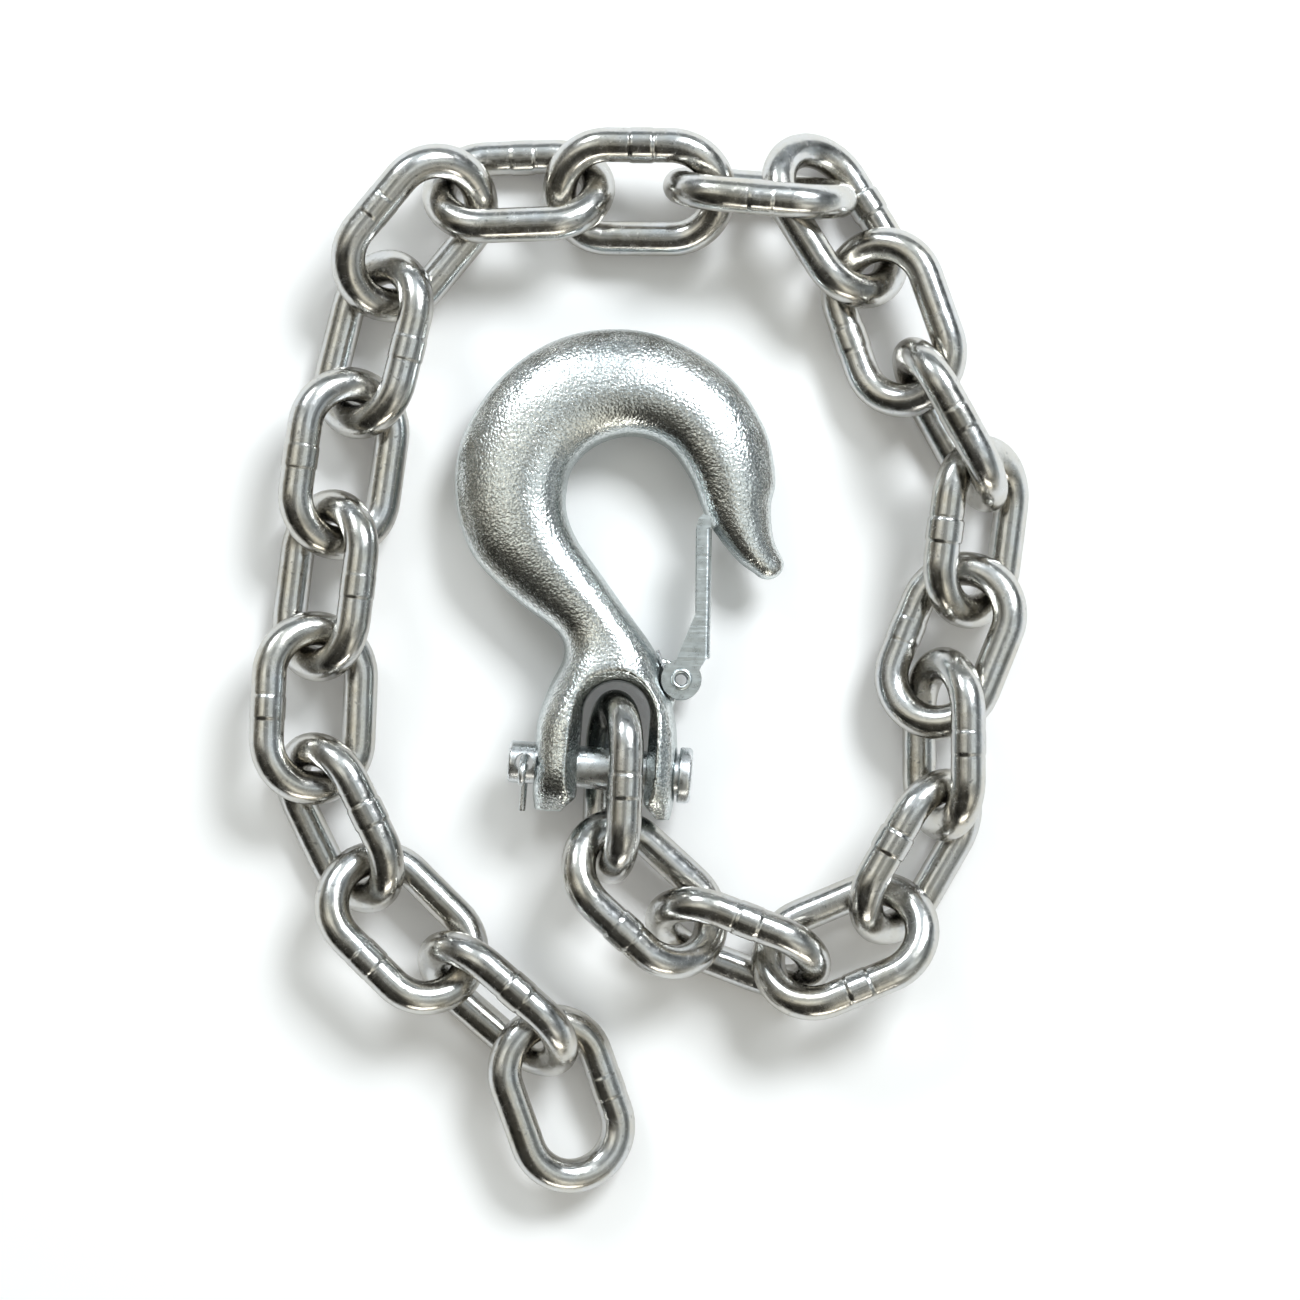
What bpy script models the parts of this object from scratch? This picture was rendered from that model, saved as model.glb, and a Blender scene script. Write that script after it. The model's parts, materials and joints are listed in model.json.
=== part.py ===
"""Safety chain hook: forged clevis slip hook with a spring latch on a laid-out welded chain.

Lengths are in millimetres and are scaled to metres when the meshes are made.
The hook is drawn flat in its own frame: origin on the clevis pin axis midway between
the ears, X along the pin towards its head, Y towards the crown, Z through the thickness.
"""
import math

import bmesh
import bpy
import numpy as np
from mathutils import Matrix, Vector

MM = 0.001

# Chain: 1/4 inch trade size, Grade 30 proportions.
WIRE = 7.0
INSIDE_LENGTH = 25.7
INSIDE_WIDTH = 12.7
LINK_GAP = 0.30
LINK_SIDES = 10
BOW_STEPS = 9
BAR_STEPS = 2

# Clevis pin and cotter.
PIN_HEIGHT = 11.7
PIN_RADIUS = 4.3
PIN_BORE_RADIUS = 4.4
PIN_END_X = -19.8
PIN_SHOULDER_X = 14.9
PIN_HEAD_RADIUS = 5.7
PIN_HEAD_THICKNESS = 2.7
COTTER_X = -16.6
COTTER_HOLE_RADIUS = 1.9
COTTER_WIRE_RADIUS = 0.72

# Hook forging.
HOOK_YAW = -4.7
HOOK_PITCH = -2.3
SECTION_POWER = 2.5
SECTION_POINTS = 20
SLOT_LEFT_X = -5.5
SLOT_RIGHT_X = 8.1
SLOT_TOP_Y = 18.0
SLOT_CHAMFER = 2.3
SLOT_FLARE = 2.6
SLOT_MOUTH_Y = -6.4
SLOT_OPEN_Y = -14.0

# Latch.
PIVOT_X = 13.9
PIVOT_Y = 19.4
PIVOT_RADIUS = 1.65
PIVOT_BORE_RADIUS = 1.2
PIVOT_HEAD_RADIUS = 2.15
PIVOT_PLAY = 0.12
BOSS_RADIUS = 3.3
BOSS_LOW_Z = -4.0
BOSS_HIGH_Z = 1.4
EAR_DISC_RADIUS = 4.1
CHANNEL_INNER = 4.3
SHEET = 0.8
SPRING_WIRE_RADIUS = 0.32
SPRING_COIL_RADIUS = 2.6
SPRING_FULL_TURNS = 2
SPRING_HOOK_LEG = (-5.3, 5.6)
SPRING_LATCH_LEG = [(3.45, 10.6), (3.35, 13.0)]

# Outer edge, inner edge and half thickness of the forging, from the point to the ears.
HOOK_STATIONS = [
    ((32.2, 46.3), (27.6, 42.2), 3.2),
    ((30.3, 50.0), (23.3, 45.0), 4.6),
    ((29.3, 56.5), (18.3, 50.4), 5.9),
    ((29.7, 62.3), (15.4, 55.0), 6.8),
    ((26.5, 72.7), (12.3, 61.1), 7.8),
    ((17.6, 83.2), (7.1, 66.8), 8.2),
    ((2.7, 89.8), (0.0, 68.6), 8.3),
    ((-13.5, 88.5), (-7.2, 66.2), 8.3),
    ((-26.6, 79.8), (-11.8, 61.2), 8.3),
    ((-34.5, 66.2), (-12.8, 55.5), 8.3),
    ((-35.2, 53.3), (-12.2, 51.0), 8.3),
    ((-30.8, 41.7), (-9.6, 45.9), 8.2),
    ((-21.5, 33.3), (-4.4, 39.6), 8.1),
    ((-12.4, 27.3), (2.0, 32.0), 8.3),
    ((-10.2, 22.6), (7.8, 25.0), 9.0),
    ((-12.6, 16.0), (10.6, 19.0), 9.8),
    ((-14.3, 9.5), (13.0, 12.0), 10.3),
    ((-14.5, 3.5), (14.2, 4.5), 10.4),
    ((-14.4, -2.0), (14.3, -2.0), 10.3),
    ((-14.2, -6.0), (14.2, -6.0), 8.6),
    ((-13.6, -9.4), (13.7, -9.4), 5.0),
]
STATION_STEPS = 3

# Latch flange outline round its strip, in the hook frame; the ear disc is added by rule.
FLANGE_LEFT = [(12.6, 23.3), (14.6, 29.7), (15.8, 33.3), (14.5, 50.8), (14.8, 52.4), (15.6, 53.3)]
FLANGE_RIGHT = [(16.7, 53.0), (17.4, 51.8), (17.6, 50.4), (19.35, 24.3), (18.6, 23.9), (17.8, 22.4)]

# How each link lies: centre east, north and up from the floor point under the pin's
# middle (mm), heading, lean about its length, and tilt up along its length (degrees).
LAY = [
    (1.2, -3.5, 13.2, -92, 74.5, 0),
    (8.5, -25.5, 13.5, -43, -35, -6),
    (27.0, -35.5, 12.0, -21, 55, -1),
    (49.0, -36.0, 12.0, 23, -31, 2),
    (63.5, -18.0, 11.0, 60, 49, 0),
    (69.0, 5.0, 12.5, 90, -66, 0),
    (70.5, 25.5, 10.5, 68, -20, -2),
    (76.0, 48.5, 10.5, 83, 43, 2),
    (70.0, 70.0, 13.5, 119, -84, 0),
    (59.0, 91.5, 10.5, 109, -25, -3),
    (47.0, 112.5, 9.5, 122, 37, 0),
    (31.5, 117.5, 13.0, 175, 75, 0),
    (7.0, 118.0, 10.5, 179, -26, -2),
    (-18.0, 118.5, 9.5, 182, 37, -1),
    (-39.0, 109.5, 11.5, 230, -30, -2),
    (-47.5, 87.0, 9.5, 256, 39, 0),
    (-53.5, 62.5, 10.0, 262, -31, 0),
    (-57.5, 37.5, 10.0, 263, 42, 0),
    (-59.5, 12.5, 11.0, 268, -26, 3),
    (-54.5, -11.5, 10.5, 296, 46, 0),
    (-41.5, -32.5, 11.5, 315, -23, -1),
    (-22.0, -48.0, 11.5, 319, 56, 0),
    (-9.0, -68.0, 8.5, 289, -15, -5),
]


def clear_scene():
    for old in list(bpy.data.objects):
        bpy.data.objects.remove(old, do_unlink=True)


def new_object(name, bm, color, roughness, metallic=1.0):
    bmesh.ops.recalc_face_normals(bm, faces=bm.faces)
    mesh = bpy.data.meshes.new(name)
    bm.to_mesh(mesh)
    bm.free()
    obj = bpy.data.objects.new(name, mesh)
    bpy.context.scene.collection.objects.link(obj)
    mat = bpy.data.materials.new(name + "_metal")
    mat.use_nodes = True
    shader = mat.node_tree.nodes["Principled BSDF"]
    shader.inputs["Base Color"].default_value = (*color, 1.0)
    shader.inputs["Metallic"].default_value = metallic
    shader.inputs["Roughness"].default_value = roughness
    mesh.materials.append(mat)
    return obj


def rings_to_mesh(rings, closed=False):
    """Skin rings of equal point count; end rings are capped unless the loft is closed."""
    bm = bmesh.new()
    rows = [[bm.verts.new([c * MM for c in p]) for p in ring] for ring in rings]
    count = len(rows[0])
    spans = len(rows) if closed else len(rows) - 1
    for k in range(spans):
        a = rows[k]
        b = rows[(k + 1) % len(rows)]
        for i in range(count):
            j = (i + 1) % count
            bm.faces.new((a[i], a[j], b[j], b[i]))
    if not closed:
        bm.faces.new(list(reversed(rows[0])))
        bm.faces.new(rows[-1])
    return bm


def prism(outline, low, high):
    """Closed prism from an XY outline between two heights."""
    return rings_to_mesh([[(x, y, low) for x, y in outline], [(x, y, high) for x, y in outline]])


def disc_points(cx, cy, radius, count):
    step = 2 * math.pi / count
    return [(cx + radius * math.cos(k * step), cy + radius * math.sin(k * step))
            for k in range(count)]


def rod_along_x(profile, sides):
    """Turned body about X from (x, radius) pairs."""
    step = 2 * math.pi / sides
    rings = []
    for x, radius in profile:
        rings.append([(x, radius * math.cos(k * step), radius * math.sin(k * step))
                      for k in range(sides)])
    return rings_to_mesh(rings)


def combine(obj, bm, operation):
    """Exact Boolean of obj with a temporary solid."""
    tool_mesh = bpy.data.meshes.new("tool")
    bmesh.ops.recalc_face_normals(bm, faces=bm.faces)
    bm.to_mesh(tool_mesh)
    bm.free()
    tool = bpy.data.objects.new("tool", tool_mesh)
    bpy.context.scene.collection.objects.link(tool)
    mod = obj.modifiers.new("cut", "BOOLEAN")
    mod.operation = operation
    mod.solver = "EXACT"
    mod.object = tool
    bpy.context.view_layer.update()
    graph = bpy.context.evaluated_depsgraph_get()
    result = bpy.data.meshes.new_from_object(obj.evaluated_get(graph))
    obj.modifiers.clear()
    obj.data = result
    bpy.data.objects.remove(tool, do_unlink=True)


def tidy(obj):
    """Weld coincident corners and triangulate."""
    bm = bmesh.new()
    bm.from_mesh(obj.data)
    bmesh.ops.remove_doubles(bm, verts=bm.verts, dist=0.00001)
    bmesh.ops.dissolve_degenerate(bm, edges=bm.edges, dist=0.00001)
    bmesh.ops.triangulate(bm, faces=bm.faces)
    bm.to_mesh(obj.data)
    bm.free()


def spline(points, steps):
    """Catmull-Rom through the points."""
    pts = np.array(points, dtype=float)
    ext = np.vstack([2 * pts[0] - pts[1], pts, 2 * pts[-1] - pts[-2]])
    out = []
    for k in range(1, len(ext) - 2):
        p0, p1, p2, p3 = ext[k - 1], ext[k], ext[k + 1], ext[k + 2]
        for s in range(steps):
            t = s / steps
            square = (2 * p0 - 5 * p1 + 4 * p2 - p3) * t ** 2
            cube = (3 * p1 - p0 - 3 * p2 + p3) * t ** 3
            out.append(0.5 * (2 * p1 + (p2 - p0) * t + square + cube))
    out.append(pts[-1])
    return np.array(out)


def tube(path, radius, sides, closed=False):
    """Round wire along a path, carried along without twist."""
    pts = [Vector(p) for p in path]
    count = len(pts)
    tangents = []
    for k in range(count):
        ahead = pts[(k + 1) % count] if closed else pts[min(k + 1, count - 1)]
        behind = pts[k - 1] if closed else pts[max(k - 1, 0)]
        tangents.append((ahead - behind).normalized())
    side = tangents[0].orthogonal().normalized()
    rings = []
    step = 2 * math.pi / sides
    for k in range(count):
        side = (side - tangents[k] * side.dot(tangents[k])).normalized()
        other = tangents[k].cross(side)
        rings.append([tuple(pts[k] + radius * (math.cos(i * step) * side + math.sin(i * step) * other))
                      for i in range(sides)])
    return rings_to_mesh(rings, closed)


# ---------------------------------------------------------------- hook forging

def hook_section(outer, inner, half, shrink=1.0, push=(0.0, 0.0)):
    ox, oy = outer
    ix, iy = inner
    cx = (ox + ix) / 2 + push[0]
    cy = (oy + iy) / 2 + push[1]
    wx = (ox - ix) / 2
    wy = (oy - iy) / 2
    ring = []
    for k in range(SECTION_POINTS):
        ang = 2 * math.pi * (k + 0.5) / SECTION_POINTS
        c = math.copysign(abs(math.cos(ang)) ** (2 / SECTION_POWER), math.cos(ang)) * shrink
        s = math.copysign(abs(math.sin(ang)) ** (2 / SECTION_POWER), math.sin(ang)) * shrink
        ring.append((cx + wx * c, cy + wy * c, half * s))
    return ring


def slot_outline(grow):
    """Arched slot between the ears, widened evenly by grow."""
    radius = (SLOT_RIGHT_X - SLOT_LEFT_X) / 2
    cx = (SLOT_RIGHT_X + SLOT_LEFT_X) / 2
    cy = SLOT_TOP_Y - radius
    mouth = radius + grow + SLOT_FLARE
    points = [(cx - mouth, SLOT_MOUTH_Y - SLOT_FLARE), (cx - mouth, SLOT_OPEN_Y)]
    points += [(cx + mouth, SLOT_OPEN_Y), (cx + mouth, SLOT_MOUTH_Y - SLOT_FLARE)]
    points += [(cx + radius + grow, SLOT_MOUTH_Y)]
    for k in range(13):
        ang = math.pi * k / 12
        points.append((cx + (radius + grow) * math.cos(ang), cy + (radius + grow) * math.sin(ang)))
    points += [(cx - radius - grow, SLOT_MOUTH_Y)]
    return points


def slot_solid():
    levels = [(-13.0, SLOT_CHAMFER + 1.2), (-6.2, 0.0), (6.2, 0.0), (13.0, SLOT_CHAMFER + 1.2)]
    rings = []
    for z, grow in levels:
        rings.append([(x, y, z) for x, y in slot_outline(grow)])
    return rings_to_mesh(rings)


def build_hook():
    flat = [(*outer, *inner, half) for outer, inner, half in HOOK_STATIONS]
    rows = spline(flat, STATION_STEPS)
    rings = []
    first = rows[0]
    ahead = np.array([first[0] + first[2], first[1] + first[3]]) - (rows[1][0:2] + rows[1][2:4])
    ahead = ahead / np.linalg.norm(ahead)
    for k in range(4, 0, -1):
        ang = math.radians(19 * k)
        push = ahead * 2.9 * math.sin(ang)
        rings.append(hook_section(first[0:2], first[2:4], first[4], math.cos(ang), push))
    for row in rows:
        rings.append(hook_section(row[0:2], row[2:4], row[4]))
    hook = new_object("hook_body", rings_to_mesh(rings), (0.60, 0.62, 0.63), 0.42)
    boss = disc_points(PIVOT_X, PIVOT_Y, BOSS_RADIUS, 24)
    lug = [p for p in boss if p[0] > PIVOT_X - 1.0]
    lug.sort(key=lambda p: math.atan2(p[1] - PIVOT_Y, p[0] - PIVOT_X))
    lug = [(12.0, 11.0)] + lug + [(7.0, 24.2), (4.0, 18.0)]
    combine(hook, prism(lug, BOSS_LOW_Z, BOSS_HIGH_Z), "UNION")
    pocket = disc_points(PIVOT_X, PIVOT_Y, EAR_DISC_RADIUS + 0.6, 32)
    combine(hook, prism(pocket, BOSS_HIGH_Z, 14.0), "DIFFERENCE")
    combine(hook, prism(pocket, -14.0, BOSS_LOW_Z), "DIFFERENCE")
    combine(hook, slot_solid(), "DIFFERENCE")
    combine(hook, rod_along_x([(-30.0, PIN_BORE_RADIUS), (30.0, PIN_BORE_RADIUS)], 32), "DIFFERENCE")
    pivot_hole = disc_points(PIVOT_X, PIVOT_Y, PIVOT_RADIUS + PIVOT_PLAY, 20)
    combine(hook, prism(pivot_hole, -14.0, 14.0), "DIFFERENCE")
    tidy(hook)
    return hook


# ---------------------------------------------------------------- pin and cotter

def build_pin():
    profile = [
        (PIN_END_X, PIN_RADIUS - 0.6), (PIN_END_X + 0.6, PIN_RADIUS), (PIN_SHOULDER_X, PIN_RADIUS),
        (PIN_SHOULDER_X + 0.01, PIN_HEAD_RADIUS - 0.3), (PIN_SHOULDER_X + 0.3, PIN_HEAD_RADIUS),
        (PIN_SHOULDER_X + PIN_HEAD_THICKNESS - 0.5, PIN_HEAD_RADIUS),
        (PIN_SHOULDER_X + PIN_HEAD_THICKNESS, PIN_HEAD_RADIUS - 0.6),
    ]
    pin = new_object("clevis_pin", rod_along_x(profile, 32), (0.72, 0.73, 0.74), 0.24)
    combine(pin, prism(disc_points(COTTER_X, 0.0, COTTER_HOLE_RADIUS, 20), -8.0, 8.0), "DIFFERENCE")
    tidy(pin)
    return pin


def cotter_path():
    """Long leg, up through the cross hole, round the eye, back down to the short leg."""
    half = COTTER_WIRE_RADIUS + 0.12
    path = [(0, -10.0, -7.2), (0, -7.0, -6.9), (0, -4.0, -6.6), (0, -1.9, -6.1), (0, -half - 0.05, -4.7)]
    path += [(0, -half, -2.0), (0, -half, 1.5), (0, -half, 4.6)]
    eye_z = 7.1
    eye_r = 2.1
    for k in range(11):
        ang = math.radians(235 - 290 * k / 10)
        path.append((0, eye_r * math.cos(ang) - 0.5, eye_z + eye_r * math.sin(ang)))
    path += [(0, half, 4.6), (0, half, 1.5), (0, half, -2.0), (0, half + 0.05, -4.7)]
    path += [(0, 1.9, -5.9), (0, 3.6, -6.3)]
    return [(COTTER_X + x, y, z) for x, y, z in path]


def build_cotter():
    return new_object("cotter_pin", tube(cotter_path(), COTTER_WIRE_RADIUS, 10), (0.74, 0.75, 0.76), 0.24)


# ---------------------------------------------------------------- latch

def flange_outline():
    start = math.atan2(FLANGE_RIGHT[-1][1] - PIVOT_Y, FLANGE_RIGHT[-1][0] - PIVOT_X)
    end = math.atan2(FLANGE_LEFT[0][1] - PIVOT_Y, FLANGE_LEFT[0][0] - PIVOT_X) - 2 * math.pi
    arc = []
    for k in range(1, 18):
        ang = start + (end - start) * k / 18
        arc.append((PIVOT_X + EAR_DISC_RADIUS * math.cos(ang), PIVOT_Y + EAR_DISC_RADIUS * math.sin(ang)))
    return FLANGE_LEFT + FLANGE_RIGHT + arc


def build_latch():
    outer = CHANNEL_INNER + SHEET
    outline = flange_outline()
    latch = new_object("latch", prism(outline, CHANNEL_INNER, outer), (0.70, 0.71, 0.72), 0.30)
    top = FLANGE_RIGHT[2]
    foot = FLANGE_RIGHT[3]
    web = [top, (top[0] - SHEET, top[1]), (foot[0] - SHEET, foot[1] + 0.05), (foot[0], foot[1] + 0.05)]
    combine(latch, prism(outline, -outer, -CHANNEL_INNER), "UNION")
    combine(latch, prism(web, -outer + 0.02, outer - 0.02), "UNION")
    hole = disc_points(PIVOT_X, PIVOT_Y, PIVOT_RADIUS + PIVOT_PLAY, 20)
    combine(latch, prism(hole, -9.0, 9.0), "DIFFERENCE")
    tidy(latch)
    return latch


def build_pivot():
    face = CHANNEL_INNER + SHEET
    profile = [
        (-face - 0.75, PIVOT_HEAD_RADIUS - 0.35), (-face - 0.55, PIVOT_HEAD_RADIUS),
        (-face - 0.15, PIVOT_HEAD_RADIUS), (-face - 0.15, PIVOT_RADIUS),
        (face + 0.15, PIVOT_RADIUS), (face + 0.15, PIVOT_HEAD_RADIUS),
        (face + 0.55, PIVOT_HEAD_RADIUS), (face + 0.75, PIVOT_HEAD_RADIUS - 0.35),
        (face + 0.75, PIVOT_BORE_RADIUS + 0.15), (face + 0.5, PIVOT_BORE_RADIUS),
        (-face - 0.5, PIVOT_BORE_RADIUS), (-face - 0.75, PIVOT_BORE_RADIUS + 0.15),
    ]
    sides = 20
    step = 2 * math.pi / sides
    rings = []
    for k in range(sides):
        c, s = math.cos(k * step), math.sin(k * step)
        rings.append([(PIVOT_X + radius * c, PIVOT_Y + radius * s, z) for z, radius in profile])
    return new_object("latch_pivot", rings_to_mesh(rings, closed=True), (0.70, 0.71, 0.72), 0.28)


def touch_angle(point, radius, way):
    """Angle where a straight leg through the point runs onto a circle round the pivot."""
    x, y = point
    return math.atan2(y, x) + way * math.acos(radius / math.hypot(x, y))


def spring_path():
    """Leg on the hook's edge, coil round the pivot, leg behind the latch web."""
    low = BOSS_HIGH_Z + SPRING_WIRE_RADIUS + 0.15
    pitch = 2 * SPRING_WIRE_RADIUS + 0.06
    start = touch_angle(SPRING_HOOK_LEG, SPRING_COIL_RADIUS, 1)
    end = touch_angle(SPRING_LATCH_LEG[0], SPRING_COIL_RADIUS, -1)
    sweep = (end - start) % (2 * math.pi) + 2 * math.pi * SPRING_FULL_TURNS
    steps = 34
    path = [(PIVOT_X + SPRING_HOOK_LEG[0], PIVOT_Y + SPRING_HOOK_LEG[1], low)]
    for k in range(steps + 1):
        ang = start + sweep * k / steps
        path.append((PIVOT_X + SPRING_COIL_RADIUS * math.cos(ang),
                     PIVOT_Y + SPRING_COIL_RADIUS * math.sin(ang),
                     low + pitch * sweep / (2 * math.pi) * k / steps))
    top = path[-1][2]
    path += [(PIVOT_X + x, PIVOT_Y + y, top) for x, y in SPRING_LATCH_LEG]
    return path


def build_spring():
    wire = tube(spring_path(), SPRING_WIRE_RADIUS, 8)
    return new_object("latch_spring", wire, (0.45, 0.45, 0.46), 0.35)


# ---------------------------------------------------------------- chain

def link_loop(bow_steps, bar_steps):
    """Centre line of a link, length along X and width along Y."""
    half = (INSIDE_LENGTH + WIRE) / 2
    bow = (INSIDE_WIDTH + WIRE) / 2
    straight = half - bow
    points = []
    for side in (1, -1):
        for k in range(bow_steps + 1):
            ang = math.pi * k / bow_steps - side * math.pi / 2
            points.append((side * straight + bow * math.cos(ang), bow * math.sin(ang), 0.0))
        for k in range(1, bar_steps):
            points.append((side * straight * (1 - 2 * k / bar_steps), side * bow, 0.0))
    return np.array(points)


def link_turn(heading, lean, tilt):
    """Columns: along the link, across it, and square to its plane."""
    h, r, p = (math.radians(v) for v in (heading, lean, tilt))
    along = np.array([math.cos(h) * math.cos(p), math.sin(h) * math.cos(p), math.sin(p)])
    level = np.array([-math.sin(h), math.cos(h), 0.0])
    across = math.cos(r) * level + math.sin(r) * np.cross(along, level)
    return np.array([along, across, np.cross(along, across)]).T


def closest(a, b):
    delta = a[:, None, :] - b[None, :, :]
    square = (delta * delta).sum(axis=2)
    i, j = np.unravel_index(np.argmin(square), square.shape)
    return math.sqrt(square[i, j]), delta[i, j], i, j


def lay_chain():
    """Ease the links apart until each just clears its neighbours, the pin and the floor."""
    loop = link_loop(20, 6)
    turns = [link_turn(*row[3:]) for row in LAY]
    spots = np.array([row[:3] for row in LAY], dtype=float)
    bodies = [loop @ turn.T for turn in turns]
    yaw = math.radians(HOOK_YAW)
    reach = np.linspace(-14, 14, 57)[:, None]
    pin = reach * np.array([[math.cos(yaw), math.sin(yaw), 0.0]]) + np.array([[0.0, 0.0, PIN_HEIGHT]])
    need = WIRE + LINK_GAP
    for _ in range(400):
        worst = 0.0
        for k in range(len(LAY)):
            for m in (1, 2):
                if k + m >= len(LAY):
                    continue
                gap, delta, _, _ = closest(bodies[k] + spots[k], bodies[k + m] + spots[k + m])
                if gap < need:
                    shift = delta / gap * (need - gap) / 2
                    spots[k] += shift
                    spots[k + m] -= shift
                    worst = max(worst, need - gap)
            low = (bodies[k] + spots[k])[:, 2].min() - WIRE / 2
            if low < 0:
                spots[k][2] -= low
                worst = max(worst, -low)
        gap, delta, _, _ = closest(bodies[0] + spots[0], pin)
        short = WIRE / 2 + PIN_RADIUS + LINK_GAP - gap
        if short > 0:
            spots[0] += delta / gap * short
            worst = max(worst, short)
        if worst < 0.002:
            break
    return spots, turns, bodies


def build_chain():
    spots, turns, bodies = lay_chain()
    loop = link_loop(BOW_STEPS, BAR_STEPS)
    links = []
    for k, (spot, turn) in enumerate(zip(spots, turns)):
        name = "chain_link_%02d" % (k + 1)
        link = new_object(name, tube(loop, WIRE / 2, LINK_SIDES, closed=True), (0.78, 0.79, 0.80), 0.17)
        matrix = Matrix([list(row) for row in turn]).to_4x4()
        matrix.translation = Vector(spot) * MM
        if k == 0:
            anchor = Vector((0.0, 0.0, PIN_HEIGHT)) * MM
        else:
            before = bodies[k - 1] + spots[k - 1]
            _, _, index, _ = closest(before, bodies[k] + spot)
            anchor = Vector(before[index]) * MM
        offset = matrix.inverted() @ anchor
        link.data.transform(Matrix.Translation(-offset))
        matrix.translation = anchor
        link.matrix_world = matrix
        links.append(link)
    return links


# ---------------------------------------------------------------- assembly

def put_on_hook(obj, origin):
    """Give obj an origin at a point of the hook frame and set it in the laid hook."""
    shift = Vector(origin) * MM
    obj.data.transform(Matrix.Translation(-shift))
    yaw = Matrix.Rotation(math.radians(HOOK_YAW), 4, "Z")
    turn = yaw @ Matrix.Rotation(math.radians(HOOK_PITCH), 4, "X")
    obj.matrix_world = Matrix.Translation((0.0, 0.0, PIN_HEIGHT * MM)) @ turn @ Matrix.Translation(shift)


def centre_everything(objects):
    """Put the middle of the whole footprint at the origin, resting on the floor."""
    bpy.context.view_layer.update()
    corners = []
    for obj in objects:
        for vert in obj.data.vertices:
            corners.append(obj.matrix_world @ vert.co)
    low = Vector([min(c[i] for c in corners) for i in range(3)])
    high = Vector([max(c[i] for c in corners) for i in range(3)])
    shift = Vector(((low.x + high.x) / 2, (low.y + high.y) / 2, low.z))
    for obj in objects:
        obj.location = obj.location - shift


clear_scene()
fixed = [build_hook(), build_pin(), build_cotter()]
for item in fixed:
    put_on_hook(item, (0.0, 0.0, 0.0))
latch_parts = [build_latch(), build_pivot(), build_spring()]
for item in latch_parts:
    put_on_hook(item, (PIVOT_X, PIVOT_Y, 0.0))
chain = build_chain()
centre_everything(fixed + latch_parts + chain)
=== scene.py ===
"""Looks of the safety chain hook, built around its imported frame.

The hook's own pieces are drawn in the hook frame in millimetres: origin on the clevis pin
axis midway between the ears, X along the pin towards its head, Y towards the crown, Z
through the thickness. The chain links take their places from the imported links.
"""
import json
import math
import random

import bmesh
import bpy
import numpy as np
from mathutils import Matrix, Vector


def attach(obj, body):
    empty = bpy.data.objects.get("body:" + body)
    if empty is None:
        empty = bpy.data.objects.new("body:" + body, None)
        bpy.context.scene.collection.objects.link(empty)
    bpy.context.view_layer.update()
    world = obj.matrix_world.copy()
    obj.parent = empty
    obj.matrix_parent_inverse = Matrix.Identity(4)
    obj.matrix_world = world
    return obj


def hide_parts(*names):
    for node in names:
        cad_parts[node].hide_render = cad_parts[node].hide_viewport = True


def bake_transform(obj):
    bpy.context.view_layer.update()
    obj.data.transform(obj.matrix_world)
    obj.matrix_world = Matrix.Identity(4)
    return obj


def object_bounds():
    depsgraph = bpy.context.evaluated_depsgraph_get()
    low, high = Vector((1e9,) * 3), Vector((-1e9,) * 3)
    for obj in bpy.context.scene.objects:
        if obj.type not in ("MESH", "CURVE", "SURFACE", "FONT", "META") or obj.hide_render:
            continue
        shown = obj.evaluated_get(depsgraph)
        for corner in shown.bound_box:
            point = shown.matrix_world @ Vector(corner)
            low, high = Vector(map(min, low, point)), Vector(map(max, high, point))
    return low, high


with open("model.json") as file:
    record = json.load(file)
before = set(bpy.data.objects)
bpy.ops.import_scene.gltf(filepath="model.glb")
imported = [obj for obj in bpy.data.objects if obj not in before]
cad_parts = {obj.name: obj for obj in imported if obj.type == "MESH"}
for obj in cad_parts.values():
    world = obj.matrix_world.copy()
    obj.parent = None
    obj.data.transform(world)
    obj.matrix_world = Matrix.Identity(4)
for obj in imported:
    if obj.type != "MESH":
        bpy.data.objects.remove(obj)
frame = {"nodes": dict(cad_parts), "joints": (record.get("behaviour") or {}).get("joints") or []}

CAD_BOX = [list(corner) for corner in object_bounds()]
JOINTS = {joint["name"]: joint for joint in frame["joints"]}
LINKS = sorted(name for name in frame["nodes"] if name.startswith("chain_link_"))
MM = 0.001

# Chain wire and link, as the frame has them.
WIRE = 7.0
HALF_LENGTH = 16.35
HALF_WIDTH = 9.85
LINK_SIDES = 30
BOW_STEPS = 26
BAR_STEPS = 44

# Weld collar round one bar of a link: its length, height and edges.
WELD_HALF = 2.3
WELD_HEIGHT = 0.26
WELD_EDGE = 0.30
WELD_EDGE_STEEPNESS = 1.6
# Groove on each side of the collar, shallower on one side than on the other.
WELD_GROOVE = 0.13
WELD_GROOVE_OFFSET = 0.35
WELD_GROOVE_WIDTH = 0.22
WELD_GROOVE_SHALLOW = 0.55
# Uneven flash on the collar: two lobes and three lobes round the bar.
WELD_TWO_LOBES = 0.07
WELD_THREE_LOBES = 0.05
# How far a weld strays from mid-bar, how faint the faintest is, and how far its heat tints.
WELD_WANDER = 1.0
WELD_FAINT = 0.35
WELD_HEAT_REACH = 3.0
# The bar each link is welded on, +1 left of the way along the chain, -1 right of it.
WELD_SIDE = [1, -1, 1, -1, 1, -1, 1, 1, -1, 1, -1, 1, -1, -1, -1, 1, -1, 1, -1, 1, -1, 1, 1]

# Hook forging: a rounded section swept along the stations below.
SECTION_POWER = 2.55
SECTION_POINTS = 64
STATION_STEPS = 9
PARTING_RIDGE = 0.22
# Below EAR_SQUARE_Y the sections grow squarer over EAR_SQUARE_RUN, into the ears.
EAR_SQUARENESS = 1.4
EAR_SQUARE_Y = 16.0
EAR_SQUARE_RUN = 9.0
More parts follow.
